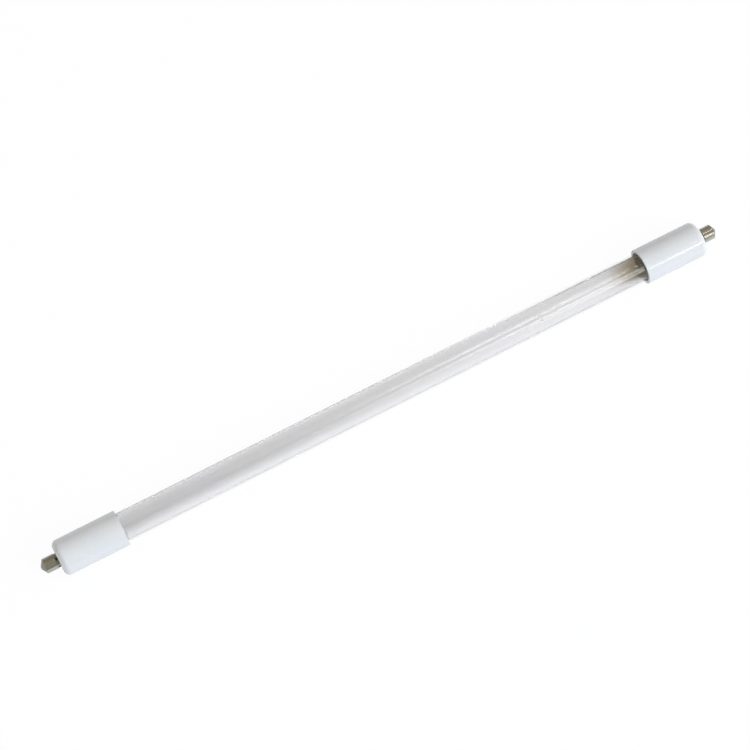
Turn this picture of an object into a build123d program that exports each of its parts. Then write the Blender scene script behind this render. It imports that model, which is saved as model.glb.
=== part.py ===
"""A double-ended ultraviolet germicidal lamp with one contact pin at each end.

A clear quartz tube is pinched flat at both ends over two molybdenum foils that
carry the current through the seal. Inside, two lead rods hold a coiled
filament. Outside, two lead wires run into a hollow contact pin, which is
riveted through the end wall of a ceramic cap. Cement holds the cap on the tube.

The lamp's axis is the X axis, and the origin is in the middle of the lamp.
Each end is drawn by its depth: the distance inwards from the flat end face of
its cap. A negative depth is outside the cap, on the contact pin.
"""

import os

from build123d import *

# Whole lamp
face_length = 357.0

# Quartz tube and its pinch seals
tube_diameter = 15.0
tube_wall = 1.1
pinch_thickness = 4.2
pinch_side_relief = 0.8
pinch_length = 13.5
pinch_edge_radius = 1.0
shoulder_length = 6.0
shoulder_flatness = 0.32
bore_end_flatness = 0.16
exhaust_tip_diameter = 3.0
exhaust_tip_length = 2.0
exhaust_tip_point = 1.0
exhaust_root_length = 4.0

# Ceramic caps
cement_gap = 0.3
cap_wall = 1.45
cap_length = 34.0
cap_end_wall = 4.0
cap_shoulder_radius = 3.0
cap_rim_radius = 0.5
chamber_length = 7.0

# Cement between the cap and the tube
cement_recess = 3.0

# Contact pins and the washers they are riveted over
pin_diameter = 7.7
pin_length = 8.95
pin_cone_height = 1.95
pin_tip_radius = 0.6
pin_edge_radius = 0.25
pin_neck_length = 1.0
pin_neck_depth = 0.25
shank_diameter = 5.0
shank_wall = 0.9
pin_tip_wall = 1.0
drill_point_height = 0.9
rivet_lip_width = 0.8
rivet_lip_thickness = 0.6
washer_rim_width = 2.0
washer_gap = 1.0
washer_thickness = 0.5
solder_fill_depth = 0.8

# Leads, foils and filaments
lead_spacing = 6.4
foil_width = 2.2
foil_length = 9.0
foil_thickness = 0.06
foil_margin = 2.0
weld_lap = 1.6
rod_diameter = 1.0
rod_length = 11.4
wire_diameter = 0.8
wire_spacing_in_pin = 1.2
wire_tip_gap = 0.5
wire_straight = 2.6
wire_slope_length = 2.6
wire_bend_radius = 1.2
coil_wire_diameter = 0.36
coil_turns = 6.5
coil_bend_radius = 1.5
coil_leg_lap = 1.6
coil_rod_gap = 0.3

# Mercury drop that lies on the inside of the tube
mercury_diameter = 1.3
mercury_place = 88.0

# Sizes that follow from the ones above
tube_radius = tube_diameter / 2
bore_radius = tube_radius - tube_wall
cap_bore_radius = tube_radius + cement_gap
cap_radius = cap_bore_radius + cap_wall
pinch_width = tube_diameter - 2 * pinch_side_relief
seat_depth = cap_end_wall + chamber_length
void_depth = seat_depth + pinch_length
round_depth = void_depth + shoulder_length
pin_radius = pin_diameter / 2
shank_radius = shank_diameter / 2
pin_bore_radius = shank_radius - shank_wall
pin_neck_radius = pin_radius - pin_neck_depth
washer_radius = shank_radius + washer_rim_width
chamber_radius = washer_radius + washer_gap
washer_depth = cap_end_wall + washer_thickness
rivet_depth = washer_depth + rivet_lip_thickness
pin_bore_end = pin_tip_wall + pin_cone_height - pin_length
foil_start = seat_depth + foil_margin
foil_end = foil_start + foil_length
rod_start = foil_end - weld_lap
rod_end = rod_start + rod_length
coil_wire_radius = coil_wire_diameter / 2
coil_radius = rod_diameter / 2 + coil_wire_radius
coil_depth = rod_end + coil_rod_gap + coil_radius + coil_wire_radius
wire_radius = wire_diameter / 2


def end_plane(side):
    """The drawing plane of one end: X is the depth, Y is the height above the axis."""
    return Plane(
        origin=(side * face_length / 2, 0, 0),
        x_dir=(-side, 0, 0),
        z_dir=(0, side, 0),
    )


def lead_plane(side):
    """The level plane through the leads: X is the depth, Y runs to side times the back."""
    return Plane(
        origin=(side * face_length / 2, 0, 0),
        x_dir=(-side, 0, 0),
        z_dir=(0, 0, 1),
    )


def cross_plane(side, depth):
    """A plane across the lamp at a depth, whose normal points into the lamp."""
    return Plane(
        origin=(side * (face_length / 2 - depth), 0, 0),
        x_dir=(0, 1, 0),
        z_dir=(-side, 0, 0),
    )


def ceramic_cap(side):
    """A ceramic sleeve with a thick end wall, a lead chamber and a ledge for the tube."""
    with BuildPart() as cap:
        with BuildSketch(end_plane(side)):
            with BuildLine():
                Polyline(
                    (0, shank_radius),
                    (0, cap_radius),
                    (cap_length, cap_radius),
                    (cap_length, cap_bore_radius),
                    (seat_depth, cap_bore_radius),
                    (seat_depth, chamber_radius),
                    (cap_end_wall, chamber_radius),
                    (cap_end_wall, shank_radius),
                    close=True,
                )
            face = make_face()
            outer_corners = face.vertices().group_by(Axis.Y)[-1].sort_by(Axis.X)
            fillet(outer_corners[0], radius=cap_shoulder_radius)
            fillet(outer_corners[-1], radius=cap_rim_radius)
        revolve(axis=Axis.X)
    return cap


def contact_pin(side):
    """A turned pin with a conical point, hollow inside, with its shank end rolled over."""
    with BuildPart() as pin:
        with BuildSketch(end_plane(side)):
            with BuildLine():
                Polyline(
                    (-pin_length, 0),
                    (-pin_length, pin_tip_radius),
                    (pin_cone_height - pin_length, pin_radius),
                    (-pin_neck_length - pin_neck_depth, pin_radius),
                    (-pin_neck_length, pin_neck_radius),
                    (0, pin_neck_radius),
                    (0, shank_radius),
                    (washer_depth, shank_radius),
                    (washer_depth, shank_radius + rivet_lip_width),
                    (rivet_depth, shank_radius + rivet_lip_width),
                    (rivet_depth, pin_bore_radius),
                    (pin_bore_end, pin_bore_radius),
                    (pin_bore_end - drill_point_height, 0),
                    close=True,
                )
            face = make_face()
            cone_corner = (pin_cone_height - pin_length, pin_radius)
            lip_corner = (rivet_depth, shank_radius + rivet_lip_width)
            for corner in (cone_corner, lip_corner):
                fillet(face.vertices().sort_by_distance(corner)[0], radius=pin_edge_radius)
        revolve(axis=Axis.X)
    return pin


def pin_washer(side):
    """The flat washer between the cap's end wall and the rolled lip of the pin."""
    with BuildPart() as washer:
        with BuildSketch(cross_plane(side, cap_end_wall)):
            Circle(washer_radius)
            Circle(shank_radius, mode=Mode.SUBTRACT)
        extrude(amount=washer_thickness)
    return washer


def envelope_outside(side):
    """The outside of one pinched end of the tube, up to where the tube is round."""
    with BuildPart() as outside:
        with BuildSketch(cross_plane(side, round_depth)):
            Circle(tube_radius)
        with BuildSketch(cross_plane(side, void_depth - tube_wall)):
            Ellipse(pinch_width / 2, tube_radius * shoulder_flatness)
        loft()
        with BuildSketch(cross_plane(side, seat_depth)):
            RectangleRounded(pinch_width, pinch_thickness, pinch_edge_radius)
        extrude(amount=pinch_length)
    return outside


def envelope_inside(side):
    """The hollow of one shoulder, from the round bore down to the flat seal."""
    with BuildPart() as inside:
        with BuildSketch(cross_plane(side, round_depth)):
            Circle(bore_radius)
        with BuildSketch(cross_plane(side, void_depth)):
            Ellipse(pinch_width / 2 - tube_wall, bore_radius * bore_end_flatness)
        loft()
    return inside


def exhaust_tip(side):
    """The melted-off stub of the pumping tube, in the middle of one pinch."""
    tip_radius = exhaust_tip_diameter / 2
    with BuildPart() as tip:
        with BuildSketch(end_plane(side)):
            with BuildLine():
                Polyline(
                    (seat_depth + exhaust_root_length, 0),
                    (seat_depth + exhaust_root_length, tip_radius),
                    (seat_depth + exhaust_tip_point - exhaust_tip_length, tip_radius),
                    (seat_depth - exhaust_tip_length, 0),
                    close=True,
                )
            make_face()
        revolve(axis=Axis.X)
    return tip


def quartz_tube(sealed_in):
    """The clear envelope, fused round the foils and leads that pass its two seals."""
    round_length = face_length - 2 * round_depth
    with BuildPart() as tube:
        with BuildSketch(cross_plane(-1, round_depth)):
            Circle(tube_radius)
        extrude(amount=round_length)
        for side in (-1, 1):
            add(envelope_outside(side).part)
        add(exhaust_tip(-1).part)
        with BuildSketch(cross_plane(-1, round_depth)):
            Circle(bore_radius)
        extrude(amount=round_length, mode=Mode.SUBTRACT)
        for side in (-1, 1):
            add(envelope_inside(side).part, mode=Mode.SUBTRACT)
        for piece in sealed_in:
            add(piece.part, mode=Mode.SUBTRACT)
    return tube


def base_cement(side):
    """The cement cast between the cap's bore and the pinched end of the tube."""
    with BuildPart() as cement:
        with BuildSketch(cross_plane(side, seat_depth)):
            Circle(cap_bore_radius)
        extrude(amount=cap_length - cement_recess - seat_depth)
        with BuildSketch(cross_plane(side, round_depth)):
            Circle(tube_radius)
        extrude(amount=cap_length - round_depth, mode=Mode.SUBTRACT)
        add(envelope_outside(side).part, mode=Mode.SUBTRACT)
    return cement


def seal_foil(side, lead):
    """One strip of molybdenum foil, flat in the middle of the pinch."""
    with BuildPart() as foil:
        with BuildSketch(cross_plane(side, foil_start)):
            with Locations((lead * lead_spacing / 2, 0)):
                Rectangle(foil_width, foil_thickness)
        extrude(amount=foil_length)
    return foil


def lap_cut(side, lead, depth, radius):
    """The lower half of a lead's end, cut off so that the end lies flat on the foil."""
    lap_middle = depth + weld_lap / 2
    with BuildPart() as cut:
        with BuildSketch(lead_plane(side).offset(foil_thickness / 2)):
            with Locations((lap_middle, -side * lead * lead_spacing / 2)):
                Rectangle(weld_lap, 2 * radius)
        extrude(amount=-2 * radius)
    return cut


def lead_rod(side, lead):
    """A rod that stands in the seal and holds one end of the filament."""
    rod_radius = rod_diameter / 2
    with BuildPart() as rod:
        with BuildSketch(cross_plane(side, rod_start)):
            with Locations((lead * lead_spacing / 2, 0)):
                Circle(rod_radius)
        extrude(amount=rod_length)
        add(lap_cut(side, lead, rod_start, rod_radius).part, mode=Mode.SUBTRACT)
    return rod


def lead_wire(side, lead):
    """A wire from the foil out of the seal, bent in to reach the bore of the pin."""
    seal_y = lead * lead_spacing / 2
    pin_y = lead * wire_spacing_in_pin / 2
    bend_out = seat_depth - wire_straight
    bend_in = bend_out - wire_slope_length
    with BuildPart() as wire:
        with BuildLine(lead_plane(side)):
            FilletPolyline(
                (foil_start + weld_lap, -side * seal_y),
                (bend_out, -side * seal_y),
                (bend_in, -side * pin_y),
                (pin_bore_end + wire_tip_gap, -side * pin_y),
                radius=wire_bend_radius,
            )
        with BuildSketch(cross_plane(side, foil_start + weld_lap)):
            with Locations((seal_y, 0)):
                Circle(wire_radius)
        sweep()
        add(lap_cut(side, lead, foil_start, wire_radius).part, mode=Mode.SUBTRACT)
    return wire


def pin_solder(side):
    """The solder that fills the bore of the pin round the two wires."""
    with BuildPart() as solder:
        with BuildSketch(end_plane(side)):
            with BuildLine():
                Polyline(
                    (pin_bore_end - drill_point_height, 0),
                    (pin_bore_end, pin_bore_radius),
                    (-solder_fill_depth, pin_bore_radius),
                    (-solder_fill_depth, 0),
                    close=True,
                )
            make_face()
        revolve(axis=Axis.X)
        for lead in (-1, 1):
            add(lead_wire(side, lead).part, mode=Mode.SUBTRACT)
    return solder


def filament(side):
    """A coil across the tube, with a leg welded over one rod and under the other."""
    coil_start = (side * (face_length / 2 - coil_depth), -lead_spacing / 2, 0)
    leg_end = side * (face_length / 2 - rod_end + coil_leg_lap)
    with BuildPart() as coil:
        with BuildLine():
            turns = Helix(
                pitch=lead_spacing / coil_turns,
                height=lead_spacing,
                radius=coil_radius,
                center=coil_start,
                direction=(0, 1, 0),
                lefthand=side > 0,
            )
        for end, heading in ((turns @ 0, -(turns % 0)), (turns @ 1, turns % 1)):
            slope = heading.get_angle(Vector(side, 0, 0))
            turn_way = -side if heading.Y > 0 else side
            with BuildLine(Plane.XY.offset(end.Z)):
                bend = JernArc(
                    (end.X, end.Y),
                    (heading.X, heading.Y),
                    radius=coil_bend_radius,
                    arc_size=turn_way * slope,
                )
                leg_start = bend @ 1
                leg = Line((leg_start.X, leg_start.Y), (leg_end, leg_start.Y))
        with BuildSketch(Plane(origin=leg @ 1, z_dir=(side, 0, 0))):
            Circle(coil_wire_radius)
        sweep()
    return coil


def mercury_drop():
    """A small drop of mercury at rest on the bottom of the bore."""
    drop_radius = mercury_diameter / 2
    with BuildPart() as drop:
        with Locations((mercury_place, 0, drop_radius - bore_radius)):
            Sphere(drop_radius)
    return drop


def save(piece, name):
    """Names a finished piece and writes its file."""
    piece.part.label = name
    export_step(piece.part, f"parts/{name}.step")


os.makedirs("parts", exist_ok=True)
side_names = {-1: "left", 1: "right"}
lead_names = {-1: "front", 1: "back"}

sealed_in = []
for side, side_name in side_names.items():
    for lead, lead_name in lead_names.items():
        foil = seal_foil(side, lead)
        rod = lead_rod(side, lead)
        wire = lead_wire(side, lead)
        save(foil, f"seal_foil_{side_name}_{lead_name}")
        save(rod, f"lead_rod_{side_name}_{lead_name}")
        save(wire, f"lead_wire_{side_name}_{lead_name}")
        sealed_in += [foil, rod, wire]

save(quartz_tube(sealed_in), "quartz_tube")

for side, side_name in side_names.items():
    save(ceramic_cap(side), f"ceramic_cap_{side_name}")
    save(contact_pin(side), f"contact_pin_{side_name}")
    save(pin_washer(side), f"pin_washer_{side_name}")
    save(pin_solder(side), f"pin_solder_{side_name}")
    save(base_cement(side), f"base_cement_{side_name}")
    save(filament(side), f"filament_{side_name}")

save(mercury_drop(), "mercury_drop")
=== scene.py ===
# %% [markdown]
# # A double-ended ultraviolet lamp
#
# This lesson dresses a clear quartz lamp that lies on a white table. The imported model
# comes in first and stays fixed: its caps, pins and inner metal keep their own meshes and
# get finishes. The clear envelope is modelled again, because glass shows every facet.

# %% Load the fixed frame
import bmesh
import bpy
import math
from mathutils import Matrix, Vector


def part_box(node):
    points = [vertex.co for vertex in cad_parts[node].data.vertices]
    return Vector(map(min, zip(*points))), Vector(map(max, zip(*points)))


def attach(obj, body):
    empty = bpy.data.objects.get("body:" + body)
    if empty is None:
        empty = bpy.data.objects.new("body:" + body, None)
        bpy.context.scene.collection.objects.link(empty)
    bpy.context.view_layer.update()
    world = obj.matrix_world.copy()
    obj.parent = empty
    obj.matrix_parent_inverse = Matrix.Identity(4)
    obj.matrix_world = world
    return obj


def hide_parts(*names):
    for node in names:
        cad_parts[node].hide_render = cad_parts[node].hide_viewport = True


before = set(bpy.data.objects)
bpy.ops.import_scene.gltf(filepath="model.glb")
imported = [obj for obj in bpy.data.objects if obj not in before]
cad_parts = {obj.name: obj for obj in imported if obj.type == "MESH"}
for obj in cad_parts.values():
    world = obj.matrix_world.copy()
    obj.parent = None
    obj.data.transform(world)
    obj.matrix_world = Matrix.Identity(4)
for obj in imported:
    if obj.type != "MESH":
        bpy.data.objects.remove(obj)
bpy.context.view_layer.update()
MM = 0.001


# %% [markdown]
# ## The camera
#
# The camera looks steeply down on the lamp, from a little to the left and in front. Its
# place was worked out from the widths of the two caps and the tilt of their rims, so it is
# a real distance from the lamp in metres. A long lens at that distance keeps the lamp
# nearly as wide at its far end as at its near end.

# %% Place the camera
CAMERA_AZIMUTH = math.radians(-27.954)
CAMERA_ELEVATION = math.radians(70.666)
CAMERA_DISTANCE = 1.17783
PICTURE_PIXELS = 750
LENS_PIXELS = 2394.8
AIM_RIGHT = -5.487 * MM
AIM_UP = 9.769 * MM


def towards(azimuth, elevation):
    """A direction from the lamp, by its angle round from the front and its height."""
    flat = math.cos(elevation)
    return Vector((math.sin(azimuth) * flat, -math.cos(azimuth) * flat, math.sin(elevation)))


def turn_to(thing, back):
    """Turns a camera or a light so that it looks against the direction it stands in."""
    thing.rotation_mode = "QUATERNION"
    thing.rotation_quaternion = (-back).to_track_quat("-Z", "Y")


def add_camera():
    back = towards(CAMERA_AZIMUTH, CAMERA_ELEVATION)
    right = (-back).cross(Vector((0, 0, 1))).normalized()
    up = right.cross(-back)
    data = bpy.data.cameras.new("camera")
    data.sensor_width = 36
    data.lens = data.sensor_width * LENS_PIXELS / PICTURE_PIXELS
    camera = bpy.data.objects.new("camera", data)
    bpy.context.scene.collection.objects.link(camera)
    camera.location = right * AIM_RIGHT + up * AIM_UP + back * CAMERA_DISTANCE
    turn_to(camera, back)
    bpy.context.scene.camera = camera
    return camera


camera = add_camera()
print("camera at", [round(v, 3) for v in camera.location], "lens", round(camera.data.lens, 1))


# %% [markdown]
# ## Node helpers
#
# Every finish below is a small tree of nodes around one Principled shader. The helpers
# only save typing: one makes a material, one adds a node and sets its sockets, and one
# makes a noise that can be stretched along the lamp. The lamp's own axis is X, so the
# distance from that axis and the place along it tell a bore from an outside, or a neck
# from a point.

# %% Node helpers
def new_material(name):
    material = bpy.data.materials.new(name)
    material.use_nodes = True
    return material, material.node_tree


def add_node(tree, kind, **inputs):
    """A new node, with the values of its inputs set by name."""
    node = tree.nodes.new("ShaderNode" + kind)
    for key, value in inputs.items():
        name = key.replace("_", " ").title().replace("Ior", "IOR")
        node.inputs[name].default_value = value
    return node


def place_of(tree, scale):
    """The place on the object in metres, stretched by a scale on each axis."""
    place = tree.nodes.new("ShaderNodeTexCoord")
    mapping = tree.nodes.new("ShaderNodeMapping")
    mapping.inputs["Scale"].default_value = scale
    tree.links.new(place.outputs["Object"], mapping.inputs["Vector"])
    return mapping.outputs["Vector"]


def noise(tree, scale, detail, stretch=(1, 1, 1), roughness=0.5):
    """Noise with a value from 0 to 1, whose scale counts lumps in a metre."""
    node = tree.nodes.new("ShaderNodeTexNoise")
    node.inputs["Scale"].default_value = scale
    node.inputs["Detail"].default_value = detail
    node.inputs["Roughness"].default_value = roughness
    tree.links.new(place_of(tree, stretch), node.inputs["Vector"])
    return node.outputs["Fac"]


def between(tree, value, low, high, start, end):
    """Carries a value from one range to another, clamped at its ends."""
    node = tree.nodes.new("ShaderNodeMapRange")
    node.inputs["From Min"].default_value = low
    node.inputs["From Max"].default_value = high
    node.inputs["To Min"].default_value = start
    node.inputs["To Max"].default_value = end
    tree.links.new(value, node.inputs["Value"])
    return node.outputs["Result"]


def colours(tree, value, *stops):
    """A colour ramp: each stop is a place from 0 to 1 and a colour."""
    node = tree.nodes.new("ShaderNodeValToRGB")
    ramp = node.color_ramp
    ramp.elements[0].position, ramp.elements[0].color = stops[0][0], (*stops[0][1], 1)
    ramp.elements[-1].position, ramp.elements[-1].color = stops[-1][0], (*stops[-1][1], 1)
    for place, colour in stops[1:-1]:
        ramp.elements.new(place).color = (*colour, 1)
    tree.links.new(value, node.inputs["Fac"])
    return node.outputs["Color"]


def blend(tree, share, first, second, way="MIX"):
    """Mixes two colours by a share."""
    node = tree.nodes.new("ShaderNodeMix")
    node.data_type = "RGBA"
    node.blend_type = way
    for socket, value in ((node.inputs[0], share), (node.inputs[6], first), (node.inputs[7], second)):
        if isinstance(value, (tuple, float, int)):
            socket.default_value = value if isinstance(value, (float, int)) else (*value, 1)
        else:
            tree.links.new(value, socket)
    return node.outputs[2]


def reckon(tree, way, first, second=None):
    """One step of arithmetic on values."""
    node = tree.nodes.new("ShaderNodeMath")
    node.operation = way
    for socket, value in zip(node.inputs, (first, second)):
        if isinstance(value, (float, int)):
            socket.default_value = value
        elif value is not None:
            tree.links.new(value, socket)
    return node.outputs[0]


def lamp_places(tree):
    """The place along the lamp, across it, above its axis, and the distance from its axis."""
    place = tree.nodes.new("ShaderNodeTexCoord")
    parts = tree.nodes.new("ShaderNodeSeparateXYZ")
    tree.links.new(place.outputs["Object"], parts.inputs[0])
    along, across, above = parts.outputs
    across_squared = reckon(tree, "MULTIPLY", across, across)
    above_squared = reckon(tree, "MULTIPLY", above, above)
    squares = reckon(tree, "ADD", across_squared, above_squared)
    return along, across, above, reckon(tree, "SQRT", squares)


def bump(tree, height, distance, strength, under=None):
    """Turns a height from 0 to 1 into a normal, with its full depth in metres."""
    node = tree.nodes.new("ShaderNodeBump")
    node.inputs["Strength"].default_value = strength
    node.inputs["Distance"].default_value = distance
    tree.links.new(height, node.inputs["Height"])
    if under is not None:
        tree.links.new(under, node.inputs["Normal"])
    return node.outputs["Normal"]


def shader_of(tree, **values):
    """The material's Principled shader, with plain values set on its own sockets."""
    shader = tree.nodes["Principled BSDF"]
    for key, value in values.items():
        name = key.replace("_", " ").title().replace("Ior", "IOR")
        if isinstance(value, (float, int)):
            shader.inputs[name].default_value = value
        elif isinstance(value, tuple):
            shader.inputs[name].default_value = (*value, 1)
        else:
            tree.links.new(value, shader.inputs[name])
    return shader


def deselect():
    bpy.ops.object.select_all(action="DESELECT")


def finish(material, *names):
    """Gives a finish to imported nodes, whose meshes stay as they are."""
    for name in names:
        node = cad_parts[name]
        node.data.materials.clear()
        node.data.materials.append(material)
    print(material.name, "on", ", ".join(names))


# %% [markdown]
# ## The table
#
# The lamp lies on a plain white table. A product picture shows its table as pure white,
# which real light would only give by burning out the caps too. So the table's material
# adds a share of its own white where the camera looks at it, and in what metal and glass
# show of it. The rest of it is lit as a plain surface, which keeps the lamp's shadow.

# %% Make the table
TABLE_SIZE = 6.0
TABLE_COLOUR = (0.90, 0.90, 0.90)
SEEN_WHITE = 0.95
MIRRORED_WHITE = 0.235

cap_low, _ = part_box("ceramic_cap_left")


def add_table():
    deselect()
    bpy.ops.mesh.primitive_plane_add(size=TABLE_SIZE, location=(0, 0, cap_low.z))
    table = bpy.context.object
    table.name = "table"
    bpy.ops.object.transform_apply(location=True, rotation=True, scale=True)
    material, tree = new_material("table_white")
    shader = shader_of(tree, base_color=TABLE_COLOUR, roughness=0.85, specular_ior_level=0.2)
    glow = add_node(tree, "Emission", color=(1, 1, 1, 1), strength=1.0)
    ray = tree.nodes.new("ShaderNodeLightPath").outputs
    mirrored = reckon(tree, "MAXIMUM", ray["Is Glossy Ray"], ray["Is Transmission Ray"])
    share = reckon(
        tree, "ADD",
        reckon(tree, "MULTIPLY", ray["Is Camera Ray"], SEEN_WHITE),
        reckon(tree, "MULTIPLY", mirrored, MIRRORED_WHITE),
    )
    mix = tree.nodes.new("ShaderNodeMixShader")
    tree.links.new(share, mix.inputs["Fac"])
    tree.links.new(shader.outputs[0], mix.inputs[1])
    tree.links.new(glow.outputs[0], mix.inputs[2])
    tree.links.new(mix.outputs[0], tree.nodes["Material Output"].inputs["Surface"])
    table.data.materials.append(material)


add_table()
print("table at z =", round(cap_low.z / MM, 3), "mm, under the caps")


# %% [markdown]
# ## The light
#
# A long key softbox stands in front of the lamp and to its right. It draws the crisp line
# along the right cap and the lower streak in the glass. A small strip on the ceiling draws
# the upper streak, which ends before that cap. Fill panels and one panel behind the lamp
# light the table and the caps from both sides. They aren't seen in gloss, so they soften
# the shadows and add no streaks. The room glows too, most at a window on the right, and
# metal and glass show it warmer and dimmer than it lights the rest.

# %% Light the scene
LIGHT_DISTANCE = 2.4
FILL_AIM = (0.3, 0, 0)
MIDDLE = (0, 0, 0)


def add_softbox(name, place, aim, size, brightness, colour, in_gloss=True):
    """A rectangular light, whose brightness is that of its face: 1 is white paper."""
    data = bpy.data.lights.new(name, "AREA")
    data.shape = "RECTANGLE"
    data.size, data.size_y = size
    data.energy = brightness * math.pi * size[0] * size[1]
    data.color = colour
    light = bpy.data.objects.new(name, data)
    bpy.context.scene.collection.objects.link(light)
    light.location = place
    light.visible_glossy = in_gloss
    turn_to(light, (Vector(place) - Vector(aim)).normalized())
    print(name, "gives", round(data.energy, 1), "W")


def in_front(along, lean):
    """A place in front of the lamp's axis, leaned forward from straight above it."""
    lean = math.radians(lean)
    return along, -LIGHT_DISTANCE * math.sin(lean), LIGHT_DISTANCE * math.cos(lean)


add_softbox("key_softbox", in_front(1.38, 50), (0.6, 0, 0), (1.15, 0.38), 8.6, (0.94, 0.97, 1.0))
add_softbox("ceiling_strip", in_front(0.63, -4), (0.63, 0, 0), (0.28, 0.21), 10.5, (1.0, 0.97, 0.94))
add_softbox("fill_top", in_front(1.0, 30), FILL_AIM, (1.4, 0.6), 5.3, (1.0, 0.98, 0.965), False)
add_softbox("fill_left", in_front(-1.2, 45), MIDDLE, (1.4, 0.5), 1.05, (1.0, 0.98, 0.98), False)
add_softbox("fill_foot", in_front(1.0, 57), FILL_AIM, (1.4, 0.4), 2.25, (0.94, 0.95, 1.0), False)
add_softbox("back_panel", (-0.8, 0.5, 1.5), MIDDLE, (1.2, 1.4), 0.5, (1.0, 0.94, 0.88), False)


def lobe(tree, direction, start, end):
    """A glow in one part of the room: 0 outside it and 1 at its middle."""
    place = tree.nodes.new("ShaderNodeTexCoord")
    dot = tree.nodes.new("ShaderNodeVectorMath")
    dot.operation = "DOT_PRODUCT"
    tree.links.new(place.outputs["Generated"], dot.inputs[0])
    dot.inputs[1].default_value = Vector(direction).normalized()
    return between(tree, dot.outputs["Value"], start, end, 0.0, 1.0)


CEILING_GLOW = (0.46, 0.46, 0.46)
SIDE_LOBE = (0.45, 1.0)
WINDOW = (0.62, -0.78, 0.1)
WINDOW_LOBE = (0.81, 0.98)


def add_room():
    world = bpy.data.worlds.new("room")
    bpy.context.scene.world = world
    world.use_nodes = True
    tree = world.node_tree
    height = lobe(tree, (0, 0, 1), 0.0, 1.0)
    window = lobe(tree, WINDOW, *WINDOW_LOBE)
    front = colours(
        tree, height, (0.0, (0.0, 0.055, 0.12)), (0.35, (0.18, 0.215, 0.25)), (0.6, CEILING_GLOW))
    back = colours(
        tree, height, (0.0, (0.06, 0.02, 0.0)), (0.35, (0.22, 0.195, 0.18)), (0.6, CEILING_GLOW))
    lit = blend(tree, lobe(tree, (0, -1, 0), -0.3, 0.3), back, front)
    lit = blend(tree, lobe(tree, (0.9, -0.4, 0.1), *SIDE_LOBE), lit, (1.75, 1.93, 2.1), "ADD")
    lit = blend(tree, lobe(tree, (-0.9, -0.4, 0.1), *SIDE_LOBE), lit, (0.32, 0.37, 0.4), "ADD")
    lit = blend(tree, window, lit, (0.0, 0.17, 0.42), "ADD")
    shown = colours(
        tree, height,
        (0.0, (0.20, 0.19, 0.185)), (0.35, (0.29, 0.265, 0.24)), (0.6, (0.43, 0.39, 0.32)))
    shown = blend(tree, window, shown, (0.53, 0.46, 0.43), "ADD")
    glossy = tree.nodes.new("ShaderNodeLightPath").outputs["Is Glossy Ray"]
    background = tree.nodes["Background"]
    tree.links.new(blend(tree, glossy, lit, shown), background.inputs["Color"])
    background.inputs["Strength"].default_value = 1.0


add_room()
bpy.context.scene.view_settings.view_transform = "Standard"


# %% [markdown]
# ## The quartz envelope: outside
#
# The envelope is one piece of drawn quartz tube. Its maker heats each end until it is
# soft and pinches it flat over the foils, which seals the lamp. So the outside starts as
# a drawn ring that is pulled along the axis. The pinch is a flat block with rounded
# corners, drawn as its own ring with the same number of points, so a bridge between the
# two rings gives the soft shoulder. One half is modelled and then mirrored.

# %% Model the outside of one half
TUBE_RADIUS = 7.5 * MM
BORE_RADIUS = 6.4 * MM
FACE_X = 178.5 * MM
ROUND_X = FACE_X - 30.5 * MM
PINCH_START_X = FACE_X - 23.4 * MM
SEAT_X = FACE_X - 11.0 * MM
PINCH_WIDTH = 13.4 * MM
PINCH_THICKNESS = 4.2 * MM
PINCH_CORNER = 1.0 * MM
RING_POINTS = 256
CORNER_POINTS = 16
SIDE_POINTS = 12
NEAR = 0.01 * MM


def pick(kind, wanted):
    """In edit mode, selects only the edges or vertices for which wanted is true."""
    bpy.ops.mesh.select_all(action="DESELECT")
    bpy.context.tool_settings.mesh_select_mode = (kind == "verts", kind == "edges", False)
    mesh = bmesh.from_edit_mesh(bpy.context.object.data)
    for part in getattr(mesh, kind):
        part.select_set(wanted(part))
    mesh.select_flush_mode()
    bmesh.update_edit_mesh(bpy.context.object.data)


def ring_at(*places):
    """A test for edges that lie in one of the planes across the lamp."""
    def lies_there(edge):
        return any(all(abs(v.co.x - place) < NEAR for v in edge.verts) for place in places)
    return lies_there


def pull(step, across=1.0, above=1.0):
    """Extrudes the selected ring along the lamp and narrows it about the axis."""
    bpy.ops.mesh.extrude_region_move(TRANSFORM_OT_translate={"value": (step, 0, 0)})
    if across != 1.0 or above != 1.0:
        bpy.ops.transform.resize(value=(1, across, above), center_override=(0, 0, 0))


def add_ring(name, radius):
    """A ring of points round the lamp's axis at its middle, left in edit mode."""
    deselect()
    bpy.ops.mesh.primitive_circle_add(
        vertices=RING_POINTS, radius=radius, rotation=(0, math.pi / 2, 0))
    ring = bpy.context.object
    ring.name = name
    bpy.ops.object.transform_apply(location=True, rotation=True, scale=True)
    bpy.ops.object.mode_set(mode="EDIT")
    bpy.ops.mesh.select_all(action="SELECT")
    return ring


def add_pinch_ring():
    """The rounded rectangle where the pinch starts, with as many points as the tube."""
    bpy.ops.mesh.select_all(action="DESELECT")
    bpy.ops.mesh.primitive_plane_add(size=1, location=(PINCH_START_X, 0, 0), rotation=(0, math.pi / 2, 0))
    bpy.ops.transform.resize(
        value=(1, PINCH_WIDTH, PINCH_THICKNESS), center_override=(PINCH_START_X, 0, 0))
    bpy.ops.mesh.bevel(offset=PINCH_CORNER, segments=CORNER_POINTS, affect="VERTICES")
    bpy.ops.mesh.delete(type="ONLY_FACE")
    long_points = RING_POINTS // 2 - 2 * CORNER_POINTS - SIDE_POINTS
    in_ring = ring_at(PINCH_START_X)
    lengths = (PINCH_THICKNESS, PINCH_WIDTH, long_points), (PINCH_CORNER, PINCH_THICKNESS, SIDE_POINTS)
    for low, high, points in lengths:
        pick("edges", lambda edge: in_ring(edge) and low < edge.calc_length() < high)
        bpy.ops.mesh.subdivide(number_cuts=points - 1)


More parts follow.
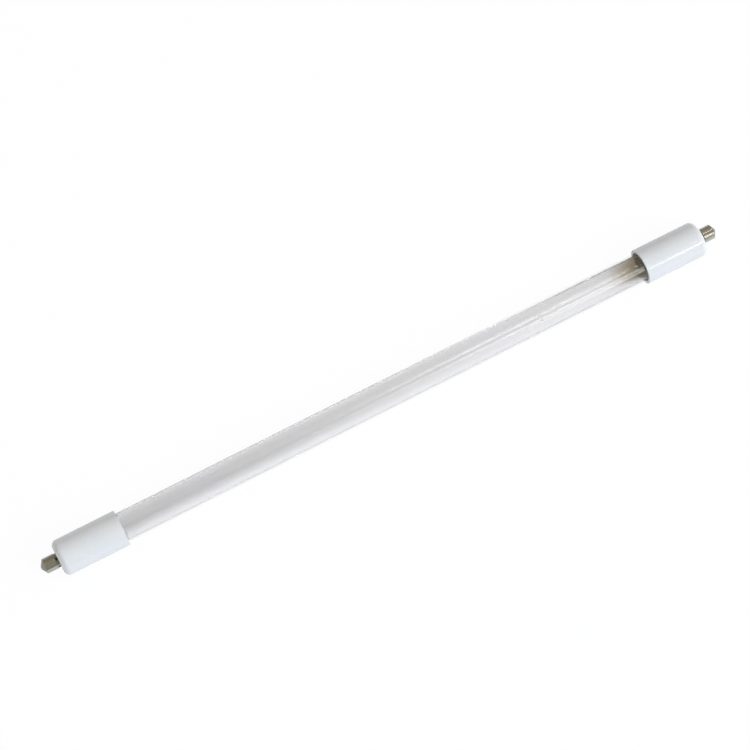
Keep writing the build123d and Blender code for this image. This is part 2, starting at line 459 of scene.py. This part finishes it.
skin = add_ring("quartz_envelope", TUBE_RADIUS)
pull(ROUND_X)
add_pinch_ring()
pick("edges", ring_at(PINCH_START_X))
pull(SEAT_X - PINCH_START_X)
pick("edges", ring_at(ROUND_X, PINCH_START_X))
bpy.ops.mesh.bridge_edge_loops(number_cuts=12, interpolation="SURFACE", smoothness=0.9)
bpy.ops.object.mode_set(mode="OBJECT")
bpy.ops.object.modifier_add(type="MIRROR")
skin.modifiers[-1].merge_threshold = NEAR
bpy.ops.object.modifier_apply(modifier=skin.modifiers[-1].name)
print("outside so far:", len(skin.data.vertices), "points")


# %% [markdown]
# ## The quartz envelope: ends
#
# The lamp is pumped and filled through a thin quartz tube at one end, which is then
# melted off and leaves a small tip. The right end is closed with a flat face, and the
# left end is bridged to a small ring that is pulled out to the tip. Both ends get the
# soft edge that a gas flame leaves.

# %% Close the ends and add the tip
TIP_RADIUS = 1.5 * MM
TIP_LENGTH = 1.0 * MM
FLAME_EDGE = 0.4 * MM
TIP_STEPS = ((0.35, 0.93), (0.30, 0.83), (0.20, 0.70), (0.12, 0.40))


def close_ends():
    bpy.ops.object.mode_set(mode="EDIT")
    pick("edges", ring_at(SEAT_X))
    bpy.ops.mesh.edge_face_add()
    bpy.ops.mesh.select_all(action="DESELECT")
    bpy.ops.mesh.primitive_circle_add(
        vertices=RING_POINTS, radius=TIP_RADIUS, location=(-SEAT_X, 0, 0), rotation=(0, math.pi / 2, 0))
    pick("edges", ring_at(-SEAT_X))
    bpy.ops.mesh.bridge_edge_loops()
    in_end = ring_at(SEAT_X, -SEAT_X)
    outer = TIP_RADIUS + NEAR
    pick("edges", lambda edge: in_end(edge) and all(v.co.yz.length > outer for v in edge.verts))
    bpy.ops.mesh.bevel(offset=FLAME_EDGE, segments=4, affect="EDGES")
    pick("edges", lambda edge: in_end(edge) and all(v.co.yz.length < outer for v in edge.verts))
    pull(-TIP_LENGTH)
    for step, share in TIP_STEPS:
        pull(-step * MM, share, share)
    bpy.ops.mesh.edge_face_add()
    bpy.ops.mesh.select_all(action="SELECT")
    bpy.ops.mesh.normals_make_consistent(inside=False)
    bpy.ops.object.mode_set(mode="OBJECT")


close_ends()
print("outside length:", round(skin.dimensions.x / MM, 2), "mm")


# %% [markdown]
# ## The quartz envelope: hollow
#
# Clear glass needs its inner wall too, or it would bend light like a solid rod. The
# hollow is a second skin with its faces turned to the gas. It follows the tube and runs
# out to a flat slit where the pinch begins.

# %% Model the hollow
VOID_X = FACE_X - 24.5 * MM
SLIT_ACROSS = 5.6 * MM
SLIT_ABOVE = 1.02 * MM
HOLLOW_STEPS = 12


def add_hollow():
    hollow = add_ring("hollow", BORE_RADIUS)
    pull(ROUND_X)
    across, above = BORE_RADIUS, BORE_RADIUS
    for step in range(1, HOLLOW_STEPS + 1):
        share = step / HOLLOW_STEPS
        next_across = BORE_RADIUS + (SLIT_ACROSS - BORE_RADIUS) * share
        next_above = BORE_RADIUS + (SLIT_ABOVE - BORE_RADIUS) * share
        pull((VOID_X - ROUND_X) / HOLLOW_STEPS, next_across / across, next_above / above)
        across, above = next_across, next_above
    bpy.ops.mesh.edge_face_add()
    bpy.ops.object.mode_set(mode="OBJECT")
    bpy.ops.object.modifier_add(type="MIRROR")
    hollow.modifiers[-1].merge_threshold = NEAR
    bpy.ops.object.modifier_apply(modifier=hollow.modifiers[-1].name)
    bpy.ops.object.mode_set(mode="EDIT")
    bpy.ops.mesh.select_all(action="SELECT")
    bpy.ops.mesh.normals_make_consistent(inside=True)
    bpy.ops.object.mode_set(mode="OBJECT")
    return hollow


hollow = add_hollow()
deselect()
hollow.select_set(True)
skin.select_set(True)
bpy.context.view_layer.objects.active = skin
bpy.ops.object.join()
bpy.ops.object.shade_smooth_by_angle(angle=math.radians(30))
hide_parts("quartz_tube")
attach(skin, "root")
print("envelope:", len(skin.data.polygons), "faces, box in mm", [round(v / MM, 2) for v in skin.dimensions])


# %% [markdown]
# ## Clear quartz
#
# Quartz is clear and hardly coloured. Drawing leaves faint lines along the tube, which
# are only seen where they bend a reflection, so they are a shallow bump stretched along
# the axis. Beside the right electrode, on the back and upper side of the wall, a brown
# tint grows towards the right cap. It is partly the film that a used lamp carries there
# and partly painted shadow: the dark shade that the right cap throws on the table, seen
# through the glass. For shadows and for the light that a table sends back, the glass lets
# rays pass straight through with a small loss, and with more loss low at its back, where
# the tube lies in its own shade. Part of the rays pass straight through its thin edges
# too, so the rim stays pale.

# %% Finish the quartz
FILM_SHADE_START = 0.126
FILM_SHADE_END = 0.1435
FILM_SHADE_GONE = 0.1475
FILM_SHADE_EDGE = (-4.0 * MM, -1.8 * MM)
FILM_SHADE_SLANT = 2.2 * MM
FILM_SHADE_TOWARDS = (0.955, 0.296)
BETWEEN_WALLS = 6.9 * MM
CLEAR_PASS = (0.99, 0.99, 0.99)
SHADE_PASS = (0.46, 0.69)
SHADE_STRETCH = (-0.12, 0.12)
SHADE_ACROSS = (-2.0 * MM, 0.0)
SHADE_ABOVE = (-1.5 * MM, 0.0)
RIM_FACING = (0.44, 0.58)
RIM_STRETCH = (-0.05, 0.08)
RIM_SHARE = (0.3, 1.0)
RIM_PASS = 0.94
RIM_COLOUR = (0.975, 0.975, 0.975, 1.0)


def film_and_shade_of(tree):
    """How much brown tint there is, from 0 to 1: partly a film on the wall and partly painted shadow of the
    right cap.
    """
    along, across, above, radius = lamp_places(tree)
    grow = between(tree, along, FILM_SHADE_START, FILM_SHADE_END, 0.0, 1.0)
    fade = between(tree, along, FILM_SHADE_END, FILM_SHADE_GONE, 1.0, 0.2)
    grow = reckon(tree, "MULTIPLY", grow, fade)
    to_back = reckon(tree, "MULTIPLY", across, FILM_SHADE_TOWARDS[0])
    to_top = reckon(tree, "MULTIPLY", above, FILM_SHADE_TOWARDS[1])
    up = reckon(tree, "ADD", to_back, to_top)
    up = reckon(tree, "ADD", up, between(tree, along, FILM_SHADE_START, FILM_SHADE_END, 0.0, FILM_SHADE_SLANT))
    side = between(tree, up, *FILM_SHADE_EDGE, 0.0, 1.0)
    uneven = between(tree, noise(tree, 140, 3, (0.6, 1, 1)), 0.3, 0.7, 0.85, 1.0)
    inside = reckon(tree, "LESS_THAN", radius, BETWEEN_WALLS)
    film_and_shade = reckon(tree, "MULTIPLY", grow, side)
    film_and_shade = reckon(tree, "MULTIPLY", film_and_shade, reckon(tree, "MULTIPLY", uneven, inside))
    return film_and_shade, along, across, above, radius


def quartz_material():
    material, tree = new_material("clear_quartz")
    film_and_shade, along, across, above, radius = film_and_shade_of(tree)
    # Painted shadow: the brown tint paints the right cap's shade seen through the glass, and partly stands
    # for a film on the wall.
    film_and_shade_tint = colours(
        tree, film_and_shade,
        (0.0, (1.0, 1.0, 1.0)), (0.35, (0.78, 0.74, 0.68)),
        (0.7, (0.50, 0.45, 0.31)), (1.0, (0.34, 0.29, 0.17)))
    drawn = noise(tree, 900, 3, (0.01, 1, 1))
    waves = noise(tree, 60, 2, (0.3, 1, 1))
    relief = bump(tree, waves, 0.02 * MM, 0.5, bump(tree, drawn, 0.002 * MM, 0.5))
    hue = colours(tree, noise(tree, 25, 2), (0.3, (1.0, 0.995, 0.99)), (0.7, (0.998, 0.988, 0.998)))
    shader = shader_of(
        tree, base_color=blend(tree, 1.0, hue, film_and_shade_tint, "MULTIPLY"), roughness=0.18, ior=1.458,
        transmission_weight=1.0, normal=relief)
    back = between(tree, across, *SHADE_ACROSS, 0.0, 1.0)
    under = between(tree, above, *SHADE_ABOVE, 1.0, 0.0)
    shade = between(tree, along, *SHADE_STRETCH, *SHADE_PASS)
    share = blend(tree, reckon(tree, "MULTIPLY", back, under), CLEAR_PASS, shade)
    passing = blend(tree, 1.0, share, blend(tree, 0.5, (1.0, 1.0, 1.0), film_and_shade_tint), "MULTIPLY")
    through = add_node(tree, "BsdfTransparent")
    tree.links.new(passing, through.inputs["Color"])
    ray = tree.nodes.new("ShaderNodeLightPath").outputs
    glass = shader.outputs[0]
    for kind in ("Is Shadow Ray", "Is Diffuse Ray"):
        mix = tree.nodes.new("ShaderNodeMixShader")
        tree.links.new(ray[kind], mix.inputs["Fac"])
        tree.links.new(glass, mix.inputs[1])
        tree.links.new(through.outputs[0], mix.inputs[2])
        glass = mix.outputs[0]
    rim = tree.nodes.new("ShaderNodeLayerWeight").outputs["Facing"]
    mix = tree.nodes.new("ShaderNodeMixShader")
    at_front = between(tree, across, -MM, MM, 1.0, 0.0)
    strength = reckon(tree, "MAXIMUM", at_front, between(tree, along, *RIM_STRETCH, *RIM_SHARE))
    outside = reckon(tree, "GREATER_THAN", radius, BETWEEN_WALLS)
    strength = reckon(tree, "MULTIPLY", strength, outside)
    edge = reckon(tree, "MULTIPLY", between(tree, rim, *RIM_FACING, 0.0, RIM_PASS), strength)
    pale = add_node(tree, "BsdfTransparent", color=RIM_COLOUR)
    tree.links.new(edge, mix.inputs["Fac"])
    tree.links.new(glass, mix.inputs[1])
    tree.links.new(pale.outputs[0], mix.inputs[2])
    tree.links.new(mix.outputs[0], tree.nodes["Material Output"].inputs["Surface"])
    return material


skin.data.materials.clear()
skin.data.materials.append(quartz_material())
print("clear_quartz on", skin.name)


# %% [markdown]
# ## Glazed ceramic
#
# The caps are pressed from white ceramic and glazed outside. The glaze is even, with a
# fine mottle and a clear top coat that draws a bright line under a narrow light. The
# bore and the flat outer end aren't glazed, so they are rougher and a little warmer, and
# the glaze thins out over the edge of the mouth. A few dark specks are grains of iron in
# the clay.

# %% Finish the caps
GLAZE_INSIDE = 7.95 * MM
GLAZE_OUTSIDE = 8.6 * MM


def glaze_material():
    material, tree = new_material("cap_glaze")
    *_, radius = lamp_places(tree)
    bare = between(tree, radius, GLAZE_INSIDE, GLAZE_OUTSIDE, 1.0, 0.0)
    mottle = colours(tree, noise(tree, 900, 4), (0.3, (0.665, 0.665, 0.665)), (0.7, (0.695, 0.693, 0.69)))
    clouds = colours(tree, noise(tree, 70, 3), (0.3, (0.975, 0.98, 0.985)), (0.7, (1.0, 1.0, 1.0)))
    glazed = blend(tree, 1.0, mottle, clouds, "MULTIPLY")
    speck = between(tree, noise(tree, 1600, 2, (1, 1, 1), 0.7), 0.74, 0.80, 0.0, 0.6)
    glazed = blend(tree, speck, glazed, (0.34, 0.31, 0.28))
    clay = colours(tree, noise(tree, 1500, 5), (0.3, (0.76, 0.74, 0.70)), (0.7, (0.83, 0.81, 0.78)))
    rough = between(tree, noise(tree, 350, 4), 0.3, 0.7, 0.42, 0.52)
    rough = reckon(tree, "ADD", rough, reckon(tree, "MULTIPLY", bare, 0.35))
    skin_wave = bump(tree, noise(tree, 160, 2), 0.02 * MM, 0.5)
    relief = bump(tree, noise(tree, 2200, 3), 0.003 * MM, 0.6, skin_wave)
    shader_of(
        tree, base_color=blend(tree, bare, glazed, clay), roughness=rough, normal=relief,
        specular_ior_level=0.2, coat_weight=0.95, coat_roughness=0.13, coat_normal=skin_wave)
    return material


finish(glaze_material(), "ceramic_cap_left", "ceramic_cap_right")


# %% [markdown]
# ## Plated pins
#
# The pins are cut from drawn rod, pointed on a lathe and plated with nickel. Stripes run
# along the pin, so the tone changes fast round it and slowly along it. They stand partly
# for the lines that drawing leaves and partly paint in the bands of reflection round a
# pin. Handling leaves dull smudges, and the point is darker. A dark, rougher ring of
# painted shade lies in the neck, where the pin meets the cap.

# %% Finish the pins
NECK_X = 179.45 * MM
NECK_SHADE_WIDTH = 0.6 * MM
POINT_X = 185.4 * MM
POINT_FADE = 0.3 * MM


def pin_material():
    material, tree = new_material("turned_nickel")
    along, *_ = lamp_places(tree)
    out = reckon(tree, "ABSOLUTE", along)
    smudge = noise(tree, 260, 4)
    plate = colours(
        tree, smudge, (0.25, (0.48, 0.47, 0.42)), (0.5, (0.56, 0.55, 0.49)), (0.75, (0.62, 0.61, 0.55)))
    # The stripes are partly drawing lines and partly painted reflection: bands that stand for reflections
    # round the pin.
    drawn = colours(
        tree, noise(tree, 700, 1, (0.02, 1, 1)), (0.40, (0.72, 0.72, 0.68)), (0.60, (1.0, 1.0, 1.0)))
    plate = blend(tree, 1.0, plate, drawn, "MULTIPLY")
    # The point is made darker.
    tip = between(tree, out, POINT_X, POINT_X + POINT_FADE, 0.0, 0.5)
    # Painted shade: a dark, rougher ring in the neck, where the pin meets the cap.
    neck_shade = between(tree, noise(tree, 330, 2), 0.42, 0.55, 0.15, 1.0)
    at_neck = between(tree, out, NECK_X, NECK_X + NECK_SHADE_WIDTH, 0.95, 0.0)
    neck_shade = reckon(tree, "MULTIPLY", neck_shade, at_neck)
    rough = between(tree, smudge, 0.25, 0.75, 0.38, 0.28)
    rough = reckon(tree, "ADD", rough, reckon(tree, "MULTIPLY", neck_shade, 0.35))
    relief = bump(tree, noise(tree, 900, 2), 0.004 * MM, 0.3)
    colour = blend(tree, neck_shade, blend(tree, tip, plate, (0.08, 0.08, 0.06)), (0.05, 0.035, 0.03))
    shader_of(tree, base_color=colour, metallic=1.0, roughness=rough, normal=relief)
    return material


finish(pin_material(), "contact_pin_left", "contact_pin_right")


# %% [markdown]
# ## Cement
#
# A heat-proof cement fills the gap between cap and tube. It is poured as a paste of fine
# grains and dries rough and beige, with small pores where water has left it. The pores
# are sunk by a bump and painted darker, which is painted shade.

# %% Finish the cement
def cement_material():
    material, tree = new_material("cap_cement")
    grain = noise(tree, 2600, 6, (1, 1, 1), 0.65)
    pores_and_their_shade = between(tree, noise(tree, 1300, 3), 0.62, 0.72, 0.0, 1.0)
    paste = colours(
        tree, grain,
        (0.25, (0.68, 0.61, 0.50)), (0.5, (0.78, 0.72, 0.61)), (0.75, (0.84, 0.79, 0.70)))
    rough = between(tree, grain, 0.2, 0.8, 0.85, 0.97)
    relief = bump(tree, reckon(tree, "SUBTRACT", grain, pores_and_their_shade), 0.06 * MM, 0.8)
    # The pores are painted darker: painted shade in them.
    colour = blend(tree, pores_and_their_shade, paste, (0.50, 0.44, 0.36))
    shader_of(tree, base_color=colour, roughness=rough, normal=relief)
    return material


finish(cement_material(), "base_cement_left", "base_cement_right")


# %% [markdown]
# ## Metal inside the lamp
#
# The inner metal parts differ in colour, dullness and texture, and one recipe serves
# them all: two tones that a noise mixes, a range of roughness and a bump. Drawn wire has
# lines along it, rolled foil is nearly smooth, and a filament is dull with oxide. On
# drawn and rolled parts, the noise of the lines is stretched along the lamp.

# %% Finish the metal inside
def metal_material(name, dark, light, dull, bright, lumps, stretch, relief):
    """Metal between two tones and two roughnesses, with a bump of the given depth in mm."""
    material, tree = new_material(name)
    blotch = noise(tree, lumps * 0.3, 4)
    lines = noise(tree, lumps, 4, stretch)
    tone = colours(tree, blotch, (0.3, dark), (0.7, light))
    shade = colours(tree, lines, (0.3, (0.88, 0.88, 0.88)), (0.7, (1.0, 1.0, 1.0)))
    rough = between(tree, lines, 0.3, 0.7, dull, bright)
    shader_of(
        tree, base_color=blend(tree, 1.0, tone, shade, "MULTIPLY"), metallic=1.0, roughness=rough,
        normal=bump(tree, lines, relief * MM, 0.6))
    return material


tungsten = metal_material(
    "oxide_tungsten", (0.10, 0.085, 0.085), (0.24, 0.22, 0.21), 0.65, 0.42, 3000, (1, 1, 1), 0.02)
rod = metal_material(
    "drawn_rod", (0.20, 0.17, 0.16), (0.42, 0.39, 0.36), 0.45, 0.28, 2500, (0.06, 1, 1), 0.008)
wire = metal_material(
    "drawn_nickel_wire", (0.45, 0.43, 0.39), (0.58, 0.56, 0.52), 0.38, 0.24, 2500, (0.06, 1, 1), 0.006)
foil = metal_material(
    "rolled_molybdenum", (0.44, 0.43, 0.42), (0.56, 0.55, 0.54), 0.34, 0.20, 1200, (0.2, 1, 1), 0.004)
steel = metal_material(
    "stamped_steel", (0.40, 0.39, 0.37), (0.55, 0.54, 0.51), 0.45, 0.30, 1500, (1, 1, 1), 0.006)
solder = metal_material(
    "cooled_solder", (0.46, 0.46, 0.47), (0.66, 0.66, 0.67), 0.50, 0.30, 1100, (1, 1, 1), 0.03)
mercury = metal_material(
    "bright_mercury", (0.70, 0.70, 0.71), (0.80, 0.80, 0.81), 0.10, 0.04, 900, (1, 1, 1), 0.001)

ENDS = ("left", "right")
PAIRED = [side + "_" + row for side in ENDS for row in ("front", "back")]
finish(tungsten, *["filament_" + side for side in ENDS])
finish(rod, *["lead_rod_" + end for end in PAIRED])
finish(wire, *["lead_wire_" + end for end in PAIRED])
finish(foil, *["seal_foil_" + end for end in PAIRED])
finish(steel, *["pin_washer_" + side for side in ENDS])
finish(solder, *["pin_solder_" + side for side in ENDS])
finish(mercury, "mercury_drop")
